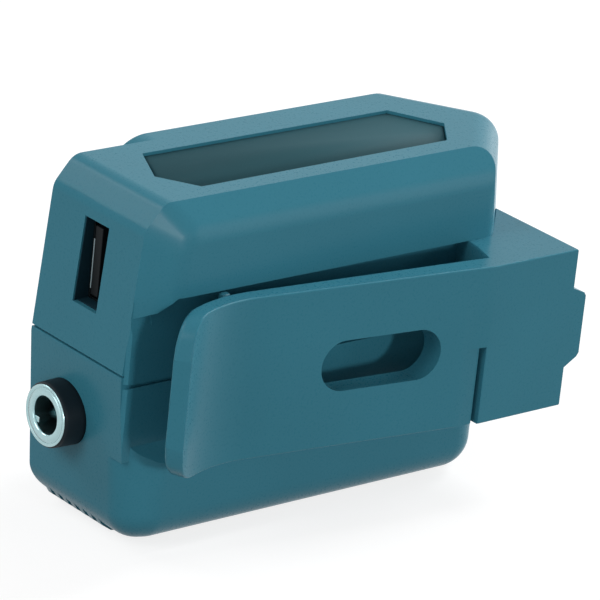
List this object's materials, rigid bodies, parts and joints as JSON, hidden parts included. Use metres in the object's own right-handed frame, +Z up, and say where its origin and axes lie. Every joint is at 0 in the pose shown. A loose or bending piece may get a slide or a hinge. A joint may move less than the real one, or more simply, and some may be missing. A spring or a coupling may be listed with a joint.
{
  "type": "battery adapter",
  "caption": "Slim moulded adapter that slides onto a tool battery, with a USB port and a round DC socket on its end and a sprung belt clip on its front.",
  "frame": {"origin": "on the crowns of the base ribs, under the middle of the housing", "axes": "+X from the socket end towards the clip root, +Y from the clip towards the battery side, +Z up from the base"},
  "size_m": [0.0834, 0.0445, 0.0555],
  "materials": {
    "housing": "moulded glass-filled nylon, fine texture, teal blue",
    "plate": "printed polyester plate, satin slate, left bare",
    "bright_steel": "tinned steel",
    "port_plastic": "white moulded polymer",
    "contact_gold": "plated brass",
    "black_plastic": "moulded black polymer",
    "nickel": "nickel-plated brass",
    "red_wire": "PVC insulation",
    "black_wire": "PVC insulation",
    "board": "glass-epoxy board with solder resist",
    "ferrite": "sintered ferrite",
    "copper_wire": "enamelled copper",
    "can": "bare aluminium can",
    "ceramic": "glazed ceramic body",
    "screw_steel": "zinc-plated steel"
  },
  "bodies": {
    "housing": {"upper_shell": "housing", "lower_shell": "housing", "clip_collar": "housing", "rating_plate": "plate", "usb_shell": "bright_steel", "usb_tongue": "port_plastic", "usb_contacts": "contact_gold", "jack_housing": "black_plastic", "jack_ring": "nickel", "jack_pin": "nickel", "jack_nut": "nickel", "jack_lugs": "contact_gold", "positive_lead": "red_wire", "negative_lead": "black_wire", "main_board": "board", "inductor_core": "ferrite", "inductor_winding": "copper_wire", "capacitors": "can", "regulator_chips": "black_plastic", "chip_resistors": "black_plastic", "schottky_diode": "black_plastic", "board_fuse": "ceramic", "terminal_block": "black_plastic", "positive_blade": "contact_gold", "negative_blade": "contact_gold", "sense_blade": "contact_gold", "housing_screws": "screw_steel"},
    "clip": {"belt_clip": "housing"}
  },
  "joints": [
    {"name": "clip_flex", "type": "hinge", "parent": "housing", "child": "clip", "pos_m": [0.0264, -0.02225, 0.028], "axis": [0, 0, 1], "range_deg": [0, 6], "stiffness_Nm_per_rad": 1}
  ]
}
